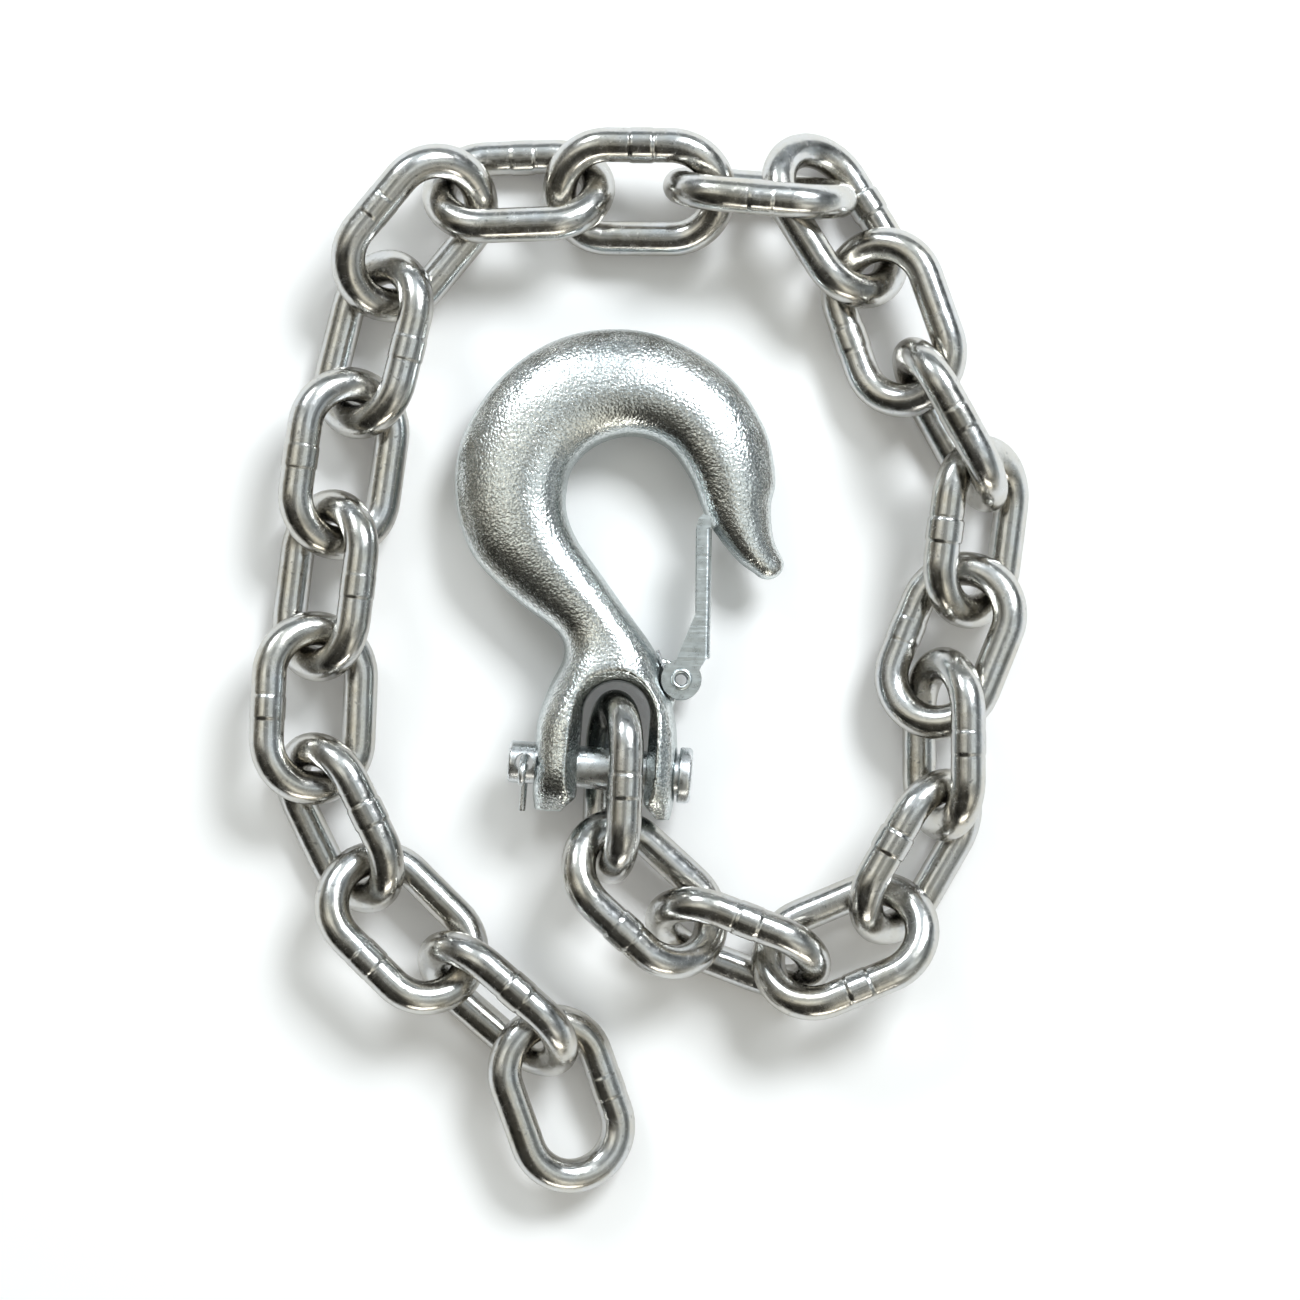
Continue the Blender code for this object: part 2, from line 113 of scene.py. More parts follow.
# Above TAPER_Y the bowl thins towards its outside, in full after TAPER_RUN. Across a section
# the thinning begins at TAPER_START, where -1 is the inner edge and 1 the outer one.
OUTER_TAPER = 0.24
TAPER_START = -0.30
TAPER_POWER = 1.5
TAPER_Y = 20.0
TAPER_RUN = 12.0
# The tip closes in a dome of shrinking sections.
TIP_RINGS = 8
TIP_RING_DEGREES = 10.5
TIP_DOME = 2.9
VOXEL = 0.38
SMOOTHING = 9
# Each station: the outer edge, the inner edge, and half the thickness, from tip to ears.
HOOK_STATIONS = [
    ((32.2, 46.3), (27.6, 42.2), 3.2),
    ((30.3, 50.0), (23.3, 45.0), 4.6),
    ((29.3, 56.5), (18.3, 50.4), 5.9),
    ((29.7, 62.3), (15.4, 55.0), 6.8),
    ((26.5, 72.7), (12.3, 61.1), 7.8),
    ((17.6, 83.2), (7.1, 66.8), 8.2),
    ((2.7, 89.8), (0.0, 68.6), 8.3),
    ((-13.5, 88.5), (-7.2, 66.2), 8.3),
    ((-26.6, 79.8), (-11.8, 61.2), 8.3),
    ((-34.5, 66.2), (-12.8, 55.5), 8.3),
    ((-35.2, 53.3), (-12.2, 51.0), 8.3),
    ((-30.8, 41.7), (-9.6, 45.9), 8.2),
    ((-21.5, 33.3), (-4.4, 39.6), 8.1),
    ((-12.4, 27.3), (2.0, 32.0), 8.3),
    ((-10.2, 22.6), (7.8, 25.0), 9.0),
    ((-12.6, 16.0), (10.6, 19.0), 9.8),
    ((-14.3, 9.5), (13.0, 12.0), 10.3),
    ((-14.5, 3.5), (14.2, 4.5), 10.4),
    ((-14.4, -2.0), (14.3, -2.0), 10.3),
    ((-14.2, -6.0), (14.2, -6.0), 8.6),
    ((-13.6, -9.4), (13.7, -9.4), 5.0),
]

# Slot between the ears; its walls open out towards both faces of the hook.
SLOT_LEFT_X = -5.6
SLOT_RIGHT_X = 8.2
SLOT_TOP_Y = 18.1
SLOT_MOUTH_Y = -6.4
SLOT_OPEN_Y = -15.0
SLOT_FLARE = 2.6
SLOT_CHAMFER = 4.0
SLOT_STRAIGHT_Z = 6.0
SLOT_FACE_Z = 13.0

# Half length of the cutting tools, clear of what they cut: along X through the ears, and along
# Z through the hook, the pin and the latch.
EARS_CUT_X = 30.0
HOOK_CUT_Z = 14.0
PIN_CUT_Z = 8.0
LATCH_CUT_Z = 9.0

# Clevis pin, turned; its profile closes on a ring of AXIS_RADIUS at each end.
PIN_RADIUS = 4.3
PIN_BORE_RADIUS = 4.5
PIN_END_X = -19.8
PIN_SHOULDER_X = 14.9
PIN_HEAD_X = 17.6
PIN_HEAD_RADIUS = 5.7
PIN_END_ROUND = 0.7
PIN_SHOULDER_GAP = 0.05
PIN_SHOULDER_ROUND = 0.4
PIN_HEAD_ROUND = 0.9
PIN_FACE_RING = 2.5
PIN_SHANK_STEPS = 24
PIN_SIDES = 72
AXIS_RADIUS = 0.01

# Cotter: its legs pass the pin side by side; its points are (Y, Z).
COTTER_X = -16.6
COTTER_HOLE_RADIUS = 1.9
COTTER_WIRE_RADIUS = 0.72
COTTER_LEG_GAP = 0.12
COTTER_LONG_TAIL = [(-10.0, -7.2), (-7.0, -6.9), (-4.0, -6.6), (-1.9, -6.1)]
COTTER_SHORT_TAIL = [(1.9, -5.9), (3.6, -6.3)]
COTTER_BEND_Z = -4.7
COTTER_SPLAY = 0.05
COTTER_LEG_UP = (-2.0, 1.5, 3.9)
COTTER_LEG_DOWN = (3.2, 1.5, -2.0)
COTTER_EYE = (-2.1, 6.9)
COTTER_EYE_RADIUS = 1.9
COTTER_EYE_SWEEP = (272, 0)
COTTER_EYE_RETURN = [(0.2, 5.7), (0.78, 4.6)]

# Latch boss on the hook, and the hollow rivet through it.
PIVOT_RADIUS = 1.65
PIVOT_BORE_RADIUS = 1.2
PIVOT_HEAD_RADIUS = 2.2
RIVET_LIFT = 0.2
RIVET_GRIP = 0.12
RIVET_PLAY = 0.1
RIVET_SIDES = 40
BOSS_RADIUS = 3.3
BOSS_LOW_Z = -4.0
BOSS_HIGH_Z = 1.4
BOSS_ROOT_BELOW = [(12.0, 11.0)]
BOSS_ROOT_ABOVE = [(7.0, 24.2), (4.0, 18.0)]

# Latch: two cheeks of sheet, joined by a bend along their back.
EAR_DISC_RADIUS = 4.1
EAR_DISC_PLAY = 0.5
CHANNEL_INNER = 4.3
SHEET = 0.8
BEND_RADIUS = 1.1
CHEEK_OVERLAP = 0.1
# Outline of a cheek: up its bowl side, over the tip, and down the back to the heel.
CHEEK_LEFT = [(12.6, 23.3), (14.6, 29.7), (15.8, 33.3), (14.5, 50.8), (14.8, 52.4), (15.6, 53.3)]
CHEEK_TIP = [(16.7, 53.0), (17.4, 51.8)]
BACK_TOP = (17.6, 50.4)
BACK_TOP_CORNER = (0.9, 0.3)
BACK_FOOT = (19.35, 24.3)
BACK_FOOT_LIFT = 0.2
CHEEK_HEEL = (17.8, 22.4)

# Torsion spring round the boss; its legs are given from the pivot.
SPRING_WIRE_RADIUS = 0.32
SPRING_COIL_RADIUS = 2.6
SPRING_COIL_GAP = 0.06
SPRING_LIFT = 0.15
SPRING_FULL_TURNS = 2
SPRING_STEPS = 90
SPRING_HOOK_LEG = (-5.3, 5.6)
SPRING_LATCH_LEG = [(3.45, 10.6), (3.35, 13.0)]

# Edge softening of the pin, the cotter's ends and the latch.
PIN_EDGE = 0.16
COTTER_EDGE = 0.15
LATCH_EDGE = 0.13

# Camera: straight above, and how far it looks from the pin's middle.
CAMERA_HEIGHT = 0.560
CAMERA_LENS = 74.3
CAMERA_SENSOR = 36.0
CAMERA_SHIFT = (0.00909, 0.02431)

# Surroundings: colour by height of the direction, 0 level and 1 straight up.
WORLD_RAMP = [
    (0.00, (0.60, 0.60, 0.60)),
    (0.20, (0.36, 0.36, 0.36)),
    (0.42, (0.12, 0.12, 0.12)),
    (0.58, (0.70, 0.70, 0.70)),
    (0.80, (1.35, 1.35, 1.35)),
    (0.95, (1.30, 1.30, 1.30)),
    (0.99, (0.66, 0.66, 0.66)),
]
# A dark corner towards the south-west, given as the cosine of the angle from its middle.
DARK_TOWARD = (-0.44, -0.60, 0.60)
DARK_EDGE = 0.66
DARK_CORE = 0.88
DARK_LEVEL = 0.08
# The walls are warm on one side and cool on the other, and blend between.
WARM_TOWARD = (-0.55, -0.80, 0.0)
WARM_BLEND = 0.45
WARM_WALL = (1.0, 0.95, 0.80)
COOL_WALL = (0.88, 0.97, 1.0)
# Soft patches of dimmer and brighter wall.
PATCH_SCALE = 1.7
PATCH_LOW = 0.38
PATCH_HIGH = 0.62
PATCH_DIM = 0.35
PATCH_BRIGHT = 1.35

# Area lights aimed at the origin: name, place, size, watts and colour.
LIGHTS = [
    ("north_east", (0.55, 0.75, 0.95), (0.50, 0.36), 14.5, (0.93, 0.97, 1.0)),
    ("north_west", (-0.55, 0.95, 0.80), (0.40, 0.30), 4.0, (0.92, 0.97, 1.0)),
    ("south", (0.15, -1.25, 0.38), (0.7, 0.18), 2.0, (1.0, 0.96, 0.86)),
]

# Floor, a hair below the part.
FLOOR_HALF = 3.0
FLOOR_DROP = 0.0002
FLOOR_GLOW = 0.10

# Upward part of the surface normal where the painted shade on sideways and downward faces begins and
# ends: a darker plating colour standing in for shade and the dark ground those faces reflect.
PAINTED_SHADE_LOW = 0.02
PAINTED_SHADE_HIGH = 0.55


def hook_matrix():
    """Hook frame in millimetres to the row frame in metres."""
    x = Vector(JOINTS["pin_spin"]["axis"]).normalized()
    z = Vector(JOINTS["latch_hinge"]["axis"]).normalized()
    turn = Matrix((x, z.cross(x), z)).transposed().to_4x4()
    turn.translation = Vector(JOINTS["pin_spin"]["pos_m"])
    return turn @ Matrix.Scale(MM, 4)


HOOK = hook_matrix()
PIVOT = HOOK.inverted() @ Vector(JOINTS["latch_hinge"]["pos_m"])
PIVOT_X, PIVOT_Y = PIVOT.x, PIVOT.y


# ---------------------------------------------------------------- materials

class Recipe:
    """Shorthand for a node material with one Principled shader."""

    def __init__(self, name, color, metallic, roughness):
        self.material = bpy.data.materials.new(name)
        self.material.use_nodes = True
        self.tree = self.material.node_tree
        self.shader = self.tree.nodes["Principled BSDF"]
        self.shader.inputs["Base Color"].default_value = (*color, 1.0)
        self.shader.inputs["Metallic"].default_value = metallic
        self.shader.inputs["Roughness"].default_value = roughness
        self.place = self.add("ShaderNodeTexCoord").outputs["Object"]
        self.strip = self.add("ShaderNodeTexCoord").outputs["UV"]
        self.facing = self.add("ShaderNodeTexCoord").outputs["Normal"]

    def add(self, kind, **values):
        node = self.tree.nodes.new(kind)
        for key, value in values.items():
            if hasattr(node, key):
                setattr(node, key, value)
            else:
                self.plug(value, node.inputs[key.replace("_", " ")])
        return node

    def plug(self, value, socket):
        if isinstance(value, bpy.types.NodeSocket):
            self.tree.links.new(value, socket)
        else:
            socket.default_value = value

    def noise(self, scale, detail=3.0, rough=0.6, where=None, stretch=(1.0, 1.0, 1.0)):
        """Noise over the object, or over the strip map, stretched along its axes."""
        mapped = self.add("ShaderNodeMapping")
        self.plug(where or self.place, mapped.inputs["Vector"])
        mapped.inputs["Scale"].default_value = stretch
        node = self.add("ShaderNodeTexNoise", Scale=scale, Detail=detail, Roughness=rough)
        self.plug(mapped.outputs["Vector"], node.inputs["Vector"])
        return node.outputs["Fac"]

    def spread(self, value, low, high, to_low, to_high):
        """Map a value from one range to another."""
        node = self.add("ShaderNodeMapRange")
        node.inputs["From Min"].default_value = low
        node.inputs["From Max"].default_value = high
        node.inputs["To Min"].default_value = to_low
        node.inputs["To Max"].default_value = to_high
        self.plug(value, node.inputs["Value"])
        return node.outputs["Result"]

    def blend(self, factor, first, second):
        node = self.add("ShaderNodeMix", data_type="RGBA")
        self.plug(factor, node.inputs[0])
        for socket, value in ((node.inputs[6], first), (node.inputs[7], second)):
            self.plug(value if isinstance(value, bpy.types.NodeSocket) else (*value, 1.0), socket)
        return node.outputs[2]

    def bump(self, height, depth, strength=1.0, under=None):
        node = self.add("ShaderNodeBump", Strength=strength, Distance=depth)
        self.plug(height, node.inputs["Height"])
        if under is not None:
            self.plug(under, node.inputs["Normal"])
        return node.outputs["Normal"]

    def painted_flank_shade(self, color, shade):
        """Painted shade: blend to a darker colour where the surface faces sideways or down, standing in
        for shade and the dark ground it reflects.
        """
        split = self.add("ShaderNodeSeparateXYZ")
        self.plug(self.facing, split.inputs[0])
        painted_shade_mask = self.spread(split.outputs["Z"], PAINTED_SHADE_LOW, PAINTED_SHADE_HIGH, 1.0, 0.0)
        return self.blend(painted_shade_mask, color, shade)

    def heat(self):
        """How near a link's weld is, 1 on its collar and 0 on the rest of the wire."""
        return self.add("ShaderNodeAttribute", attribute_name="weld").outputs["Fac"]

    def finish(self, color=None, roughness=None, normal=None):
        for key, value in (("Base Color", color), ("Roughness", roughness), ("Normal", normal)):
            if value is not None:
                self.plug(value, self.shader.inputs[key])
        return self.material


def forged_zinc():
    """Grainy satin zinc over a shot-blasted forging."""
    r = Recipe("forged_zinc_plate", (0.68, 0.69, 0.70), 1.0, 0.36)
    cloud = r.noise(70.0, 4.0, 0.6)
    speck = r.noise(1900.0, 2.0, 0.7)
    blast = r.noise(1800.0, 1.5, 0.5)
    hammer = r.noise(230.0, 3.0, 0.5)
    silver, bluish = (0.86, 0.88, 0.86), (0.78, 0.83, 0.84)
    pit_grey, glint = (0.50, 0.53, 0.53), (0.96, 0.97, 0.96)
    tone = r.blend(r.spread(cloud, 0.35, 0.65, 0.0, 1.0), silver, bluish)
    color = r.blend(r.spread(speck, 0.38, 0.53, 0.80, 0.0), tone, pit_grey)
    color = r.blend(r.spread(speck, 0.52, 0.66, 0.0, 0.9), color, glint)
    # Painted shade: a dark blue-grey on faces turned sideways or down.
    color = r.painted_flank_shade(color, (0.30, 0.35, 0.35))
    rough = r.spread(r.noise(900.0, 4.0, 0.7), 0.3, 0.7, 0.16, 0.28)
    normal = r.bump(hammer, 0.00022, 0.6)
    normal = r.bump(blast, 0.00014, 1.0, normal)
    return r.finish(color, rough, normal)


def chain_zinc():
    """Bright clear zinc over drawn bar: smooth, with fine draw lines and small marks."""
    r = Recipe("chain_zinc_plate", (0.80, 0.80, 0.79), 1.0, 0.18)
    cloud = r.noise(110.0, 4.0, 0.62)
    draw = r.noise(1.0, 3.0, 0.65, r.strip, (160.0, 2600.0, 1.0))
    scuff = r.noise(620.0, 5.0, 0.72)
    pit = r.noise(900.0, 2.0, 0.5)
    clear, yellowed = (0.62, 0.63, 0.64), (0.58, 0.56, 0.51)
    pit_grey, weld_grey = (0.30, 0.30, 0.30), (0.52, 0.52, 0.51)
    tone = r.blend(r.spread(cloud, 0.34, 0.66, 0.0, 1.0), clear, yellowed)
    tone = r.blend(r.spread(pit, 0.66, 0.74, 0.0, 0.75), tone, pit_grey)
    color = r.blend(r.spread(r.heat(), 0.0, 1.0, 0.0, 0.35), tone, weld_grey)
    # Painted shade: a dark brownish grey on faces turned sideways or down.
    color = r.painted_flank_shade(color, (0.36, 0.34, 0.30))
    rough = r.spread(scuff, 0.35, 0.75, 0.13, 0.34)
    normal = r.bump(r.noise(260.0, 2.0, 0.5), 0.00010, 0.5)
    normal = r.bump(draw, 0.000035, 0.55, normal)
    normal = r.bump(scuff, 0.00003, 0.5, normal)
    return r.finish(color, rough, normal)


def pin_zinc():
    """Turned pin under bright zinc: rings round it and a mottled bloom."""
    r = Recipe("pin_zinc_plate", (0.74, 0.755, 0.77), 1.0, 0.26)
    bloom = r.noise(420.0, 4.0, 0.65)
    rings = r.noise(1.0, 3.0, 0.6, r.strip, (4200.0, 90.0, 1.0))
    bright, dull = (0.86, 0.875, 0.89), (0.76, 0.79, 0.81)
    color = r.blend(r.spread(bloom, 0.35, 0.7, 0.0, 1.0), bright, dull)
    # Painted shade: a darker grey on faces turned sideways or down.
    color = r.painted_flank_shade(color, (0.48, 0.52, 0.53))
    rough = r.spread(r.noise(800.0, 4.0, 0.7), 0.3, 0.7, 0.20, 0.38)
    normal = r.bump(rings, 0.00004, 0.5)
    normal = r.bump(r.noise(1500.0, 3.0, 0.7), 0.00003, 0.6, normal)
    return r.finish(color, rough, normal)


def latch_zinc():
    """Rolled sheet with cross ripples from stamping, under bright zinc."""
    r = Recipe("latch_zinc_plate", (0.70, 0.71, 0.72), 1.0, 0.28)
    bloom = r.noise(300.0, 4.0, 0.62)
    ripple = r.noise(1.0, 3.0, 0.55, r.place, (90.0, 850.0, 200.0))
    scratch = r.noise(1.0, 2.0, 0.6, r.place, (2600.0, 130.0, 400.0))
    bright, dull = (0.76, 0.81, 0.82), (0.64, 0.695, 0.71)
    color = r.blend(r.spread(bloom, 0.3, 0.7, 0.0, 1.0), bright, dull)
    # Painted shade: a dark grey on faces turned sideways or down.
    color = r.painted_flank_shade(color, (0.34, 0.37, 0.38))
    rough = r.spread(r.noise(700.0, 4.0, 0.7), 0.3, 0.7, 0.24, 0.36)
    normal = r.bump(ripple, 0.00014, 0.8)
    normal = r.bump(scratch, 0.00002, 0.5, normal)
    return r.finish(color, rough, normal)


def spring_steel():
    """Drawn spring wire, greyer than the plated pieces."""
    r = Recipe("spring_wire_steel", (0.50, 0.50, 0.50), 1.0, 0.3)
    draw = r.noise(1.0, 3.0, 0.6, r.strip, (300.0, 5200.0, 1.0))
    bright, dull = (0.60, 0.60, 0.60), (0.42, 0.42, 0.43)
    color = r.blend(r.spread(r.noise(500.0), 0.3, 0.7, 0.0, 1.0), bright, dull)
    rough = r.spread(r.noise(900.0), 0.3, 0.7, 0.24, 0.40)
    return r.finish(color, rough, r.bump(draw, 0.00001, 0.6))


def pale_floor():
    """Matt pale floor that glows a little, as a lit studio sweep does."""
    r = Recipe("pale_floor", (0.93, 0.93, 0.93), 0.0, 0.85)
    color = r.blend(r.noise(9.0, 2.0, 0.5), (0.94, 0.94, 0.94), (0.925, 0.925, 0.925))
    r.shader.inputs["Emission Color"].default_value = (1.0, 1.0, 1.0, 1.0)
    r.shader.inputs["Emission Strength"].default_value = FLOOR_GLOW
    return r.finish(color, r.spread(r.noise(60.0), 0.3, 0.7, 0.82, 0.9))


# ---------------------------------------------------------------- mesh tools

def skin(rings, closed=False, lengths=None):
    """Skin rings of equal count; the strip map runs along the rings and round each one."""
    bm = bmesh.new()
    layer = bm.loops.layers.uv.new("strip")
    rows = [[bm.verts.new(p) for p in ring] for ring in rings]
    count = len(rows[0])
    spans = len(rows) if closed else len(rows) - 1
    if lengths is None:
        lengths = [k * 1.0 for k in range(len(rows) + 1)]
    girth = sum((Vector(rings[0][i]) - Vector(rings[0][i - 1])).length for i in range(count))
    for k in range(spans):
        a = rows[k]
        b = rows[(k + 1) % len(rows)]
        for i in range(count):
            j = (i + 1) % count
            face = bm.faces.new((a[i], a[j], b[j], b[i]))
            ends = ((k, i), (k, i + 1), (k + 1, i + 1), (k + 1, i))
            for loop, (row, step) in zip(face.loops, ends):
                loop[layer].uv = (lengths[row] * MM, step / count * girth * MM)
    if not closed:
        bm.faces.new(list(reversed(rows[0])))
        bm.faces.new(rows[-1])
    return bm


def prism(outline, low, high):
    """Solid of a flat outline between two heights."""
    return skin([[(x, y, z) for x, y in outline] for z in (low, high)])


def disc_points(cx, cy, radius, count):
    """Points of a full circle."""
    step = 2 * math.pi / count
    return [(cx + radius * math.cos(k * step), cy + radius * math.sin(k * step))
            for k in range(count)]


def rod_along_x(profile, sides):
    """Turned solid round the pin axis from (x, radius) pairs."""
    step = 2 * math.pi / sides
    rings = []
    for x, radius in profile:
        rings.append([(x, radius * math.cos(k * step), radius * math.sin(k * step))
                      for k in range(sides)])
    return skin(rings, lengths=[x - profile[0][0] for x, _ in profile])


def arc(cx, cy, radius, start, end, steps):
    """Points of a circular arc between two angles in degrees."""
    points = []
    for k in range(steps + 1):
        ang = math.radians(start + (end - start) * k / steps)
        points.append((cx + radius * math.cos(ang), cy + radius * math.sin(ang)))
    return points


def spline(points, steps):
    """Catmull-Rom curve through the points, with the same number of steps in each gap."""
    pts = np.array(points, dtype=float)
    ext = np.vstack([2 * pts[0] - pts[1], pts, 2 * pts[-1] - pts[-2]])
    out = []
    for k in range(1, len(ext) - 2):
        p0, p1, p2, p3 = ext[k - 1], ext[k], ext[k + 1], ext[k + 2]
        for s in range(steps):
            t = s / steps
            square = (2 * p0 - 5 * p1 + 4 * p2 - p3) * t ** 2
            cube = (3 * p1 - p0 - 3 * p2 + p3) * t ** 3
            out.append(0.5 * (2 * p1 + (p2 - p0) * t + square + cube))
    out.append(pts[-1])
    return np.array(out)


def tube(path, radii, sides, closed=False):
    """Round wire along a path; radii is a number or one ring of numbers for each point."""
    pts = [Vector(p) for p in path]
    count = len(pts)
    lengths = [0.0]
    tangents = []
    for k in range(count):
        ahead = pts[(k + 1) % count] if closed else pts[min(k + 1, count - 1)]
        behind = pts[k - 1] if closed else pts[max(k - 1, 0)]
        tangents.append((ahead - behind).normalized())
        lengths.append(lengths[-1] + (pts[(k + 1) % count] - pts[k]).length)
    side = tangents[0].orthogonal().normalized()
    rings = []
    step = 2 * math.pi / sides
    for k in range(count):
        side = (side - tangents[k] * side.dot(tangents[k])).normalized()
        other = tangents[k].cross(side)
        ring = []
        for i in range(sides):
            radius = radii if isinstance(radii, float) else radii[k][i]
            spoke = math.cos(i * step) * side + math.sin(i * step) * other
            ring.append(tuple(pts[k] + radius * spoke))
        rings.append(ring)
    return skin(rings, closed, lengths)


def new_object(name, bm, matrix):
    """Object in the scene from a mesh under construction, placed by the matrix."""
    bmesh.ops.recalc_face_normals(bm, faces=bm.faces)
    mesh = bpy.data.meshes.new(name)
    bm.to_mesh(mesh)
    bm.free()
    mesh.transform(matrix)
    obj = bpy.data.objects.new(name, mesh)
    bpy.context.scene.collection.objects.link(obj)
    return obj


def bake_modifiers(obj):
    """Replace the mesh by what its modifiers make of it."""
    bpy.context.view_layer.update()
    graph = bpy.context.evaluated_depsgraph_get()
    result = bpy.data.meshes.new_from_object(obj.evaluated_get(graph))
    obj.modifiers.clear()
    obj.data = result


def combine(obj, bm, operation):
    """Exact Boolean of obj with a solid drawn in the hook frame."""
    tool = new_object("tool", bm, HOOK)
    mod = obj.modifiers.new("cut", "BOOLEAN")
    mod.operation = operation
    mod.solver = "EXACT"
    mod.object = tool
    bake_modifiers(obj)
    bpy.data.objects.remove(tool, do_unlink=True)


def soften(obj, voxel, rounds):
    """Even out the mesh and round its edges, as a forging's are."""
    mod = obj.modifiers.new("even", "REMESH")
    mod.mode = "VOXEL"
    mod.voxel_size = voxel * MM
    mod.adaptivity = 0.0
    smooth = obj.modifiers.new("round", "SMOOTH")
    smooth.factor = 0.5
    smooth.iterations = rounds
    bake_modifiers(obj)


def break_edges(obj, width, angle=35):
    """Bevel the edges that turn by more than an angle in degrees."""
    mod = obj.modifiers.new("edges", "BEVEL")
    mod.limit_method = "ANGLE"
    mod.angle_limit = math.radians(angle)
    mod.width = width * MM
    mod.segments = 2
    bake_modifiers(obj)


def dress(obj, material, body, node, sharp=35):
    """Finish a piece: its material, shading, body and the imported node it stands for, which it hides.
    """
    obj.data.materials.clear()
    obj.data.materials.append(material)
    obj.data.shade_smooth()
    if sharp:
        obj.data.set_sharp_from_angle(angle=math.radians(sharp))
    if body:
        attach(obj, body)
    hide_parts(node)
    return obj


# ---------------------------------------------------------------- hook forging

def hook_section(row, shrink=1.0, push=(0.0, 0.0), taper=0.0):
    """Rounded section, squarer in the ears, with the dies' faint parting ridge on its edges.

    A taper thins its outer side; shrink and push make the smaller rings of the tip's dome.
    """
    cx = (row[0] + row[2]) / 2 + push[0]
    cy = (row[1] + row[3]) / 2 + push[1]
    wx = (row[0] - row[2]) / 2
    wy = (row[1] - row[3]) / 2
    half = row[4]
    reach = 1 + PARTING_RIDGE / math.hypot(wx, wy)
    ear = min(1.0, max(0.0, (EAR_SQUARE_Y - row[1]) / EAR_SQUARE_RUN))
    power = SECTION_POWER + EAR_SQUARENESS * ear
    ring = []
    for k in range(SECTION_POINTS):
        ang = 2 * math.pi * k / SECTION_POINTS
        c = math.copysign(abs(math.cos(ang)) ** (2 / power), math.cos(ang)) * shrink
        s = math.copysign(abs(math.sin(ang)) ** (2 / power), math.sin(ang)) * shrink
        thick = 1.0 - taper * max(0.0, c - TAPER_START) ** TAPER_POWER
        if k % (SECTION_POINTS // 2) == 0:
            c *= reach
        ring.append((cx + wx * c, cy + wy * c, half * s * thick))
    return ring


def slot_outline(grow):
    """Outline of the clevis slot, widened by grow: a round end and a flared mouth."""
    radius = (SLOT_RIGHT_X - SLOT_LEFT_X) / 2
    cx = (SLOT_RIGHT_X + SLOT_LEFT_X) / 2
    cy = SLOT_TOP_Y - radius
    mouth = radius + grow + SLOT_FLARE
    points = [(cx - mouth, SLOT_MOUTH_Y - SLOT_FLARE), (cx - mouth, SLOT_OPEN_Y)]
    points += [(cx + mouth, SLOT_OPEN_Y), (cx + mouth, SLOT_MOUTH_Y - SLOT_FLARE)]
    points += [(cx + radius + grow, SLOT_MOUTH_Y)]
    points += arc(cx, cy, radius + grow, 0, 180, 32)
    points += [(cx - radius - grow, SLOT_MOUTH_Y)]
    return points


def slot_solid():
    """The slot as a cutting tool, wider at both faces of the hook."""
    levels = [(-SLOT_FACE_Z, SLOT_CHAMFER), (-SLOT_STRAIGHT_Z, 0.0)]
    levels += [(SLOT_STRAIGHT_Z, 0.0), (SLOT_FACE_Z, SLOT_CHAMFER)]
    return skin([[(x, y, z) for x, y in slot_outline(grow)] for z, grow in levels])


def hook_rings():
    """Sections from the tip's dome round the bowl to the ends of the ears."""
    rows = spline([(*outer, *inner, half) for outer, inner, half in HOOK_STATIONS], STATION_STEPS)
    first = rows[0]
    ahead = (first[0:2] + first[2:4]) - (rows[1][0:2] + rows[1][2:4])
    ahead = ahead / np.linalg.norm(ahead)
    rings = []
    for k in range(TIP_RINGS, 0, -1):
        ang = math.radians(TIP_RING_DEGREES * k)
        push = ahead * TIP_DOME * math.sin(ang)
        rings.append(hook_section(first, math.cos(ang), push, OUTER_TAPER))
    for row in rows:
        taper = OUTER_TAPER * min(1.0, max(0.0, (row[1] - TAPER_Y) / TAPER_RUN))
        rings.append(hook_section(row, taper=taper))
    return rings


def build_hook(material):
    """Sweep the forging, add the latch boss, cut pockets and slot, soften it, then bore it."""
    hook = new_object("forged_hook", skin(hook_rings()), HOOK)
    boss = arc(PIVOT_X, PIVOT_Y, BOSS_RADIUS, -100, 100, 24)
    boss = BOSS_ROOT_BELOW + boss + BOSS_ROOT_ABOVE
    combine(hook, prism(boss, BOSS_LOW_Z, BOSS_HIGH_Z), "UNION")
    pocket = disc_points(PIVOT_X, PIVOT_Y, EAR_DISC_RADIUS + EAR_DISC_PLAY, 48)
    combine(hook, prism(pocket, BOSS_HIGH_Z, HOOK_CUT_Z), "DIFFERENCE")
    combine(hook, prism(pocket, -HOOK_CUT_Z, BOSS_LOW_Z), "DIFFERENCE")
    combine(hook, slot_solid(), "DIFFERENCE")
    soften(hook, VOXEL, SMOOTHING)
    drill = rod_along_x([(-EARS_CUT_X, PIN_BORE_RADIUS), (EARS_CUT_X, PIN_BORE_RADIUS)], 64)
    combine(hook, drill, "DIFFERENCE")
    bore = disc_points(PIVOT_X, PIVOT_Y, PIVOT_RADIUS + RIVET_PLAY, 32)
    combine(hook, prism(bore, -HOOK_CUT_Z, HOOK_CUT_Z), "DIFFERENCE")
    return dress(hook, material, "hook", "hook_body", sharp=50)


# ---------------------------------------------------------------- pin and cotter

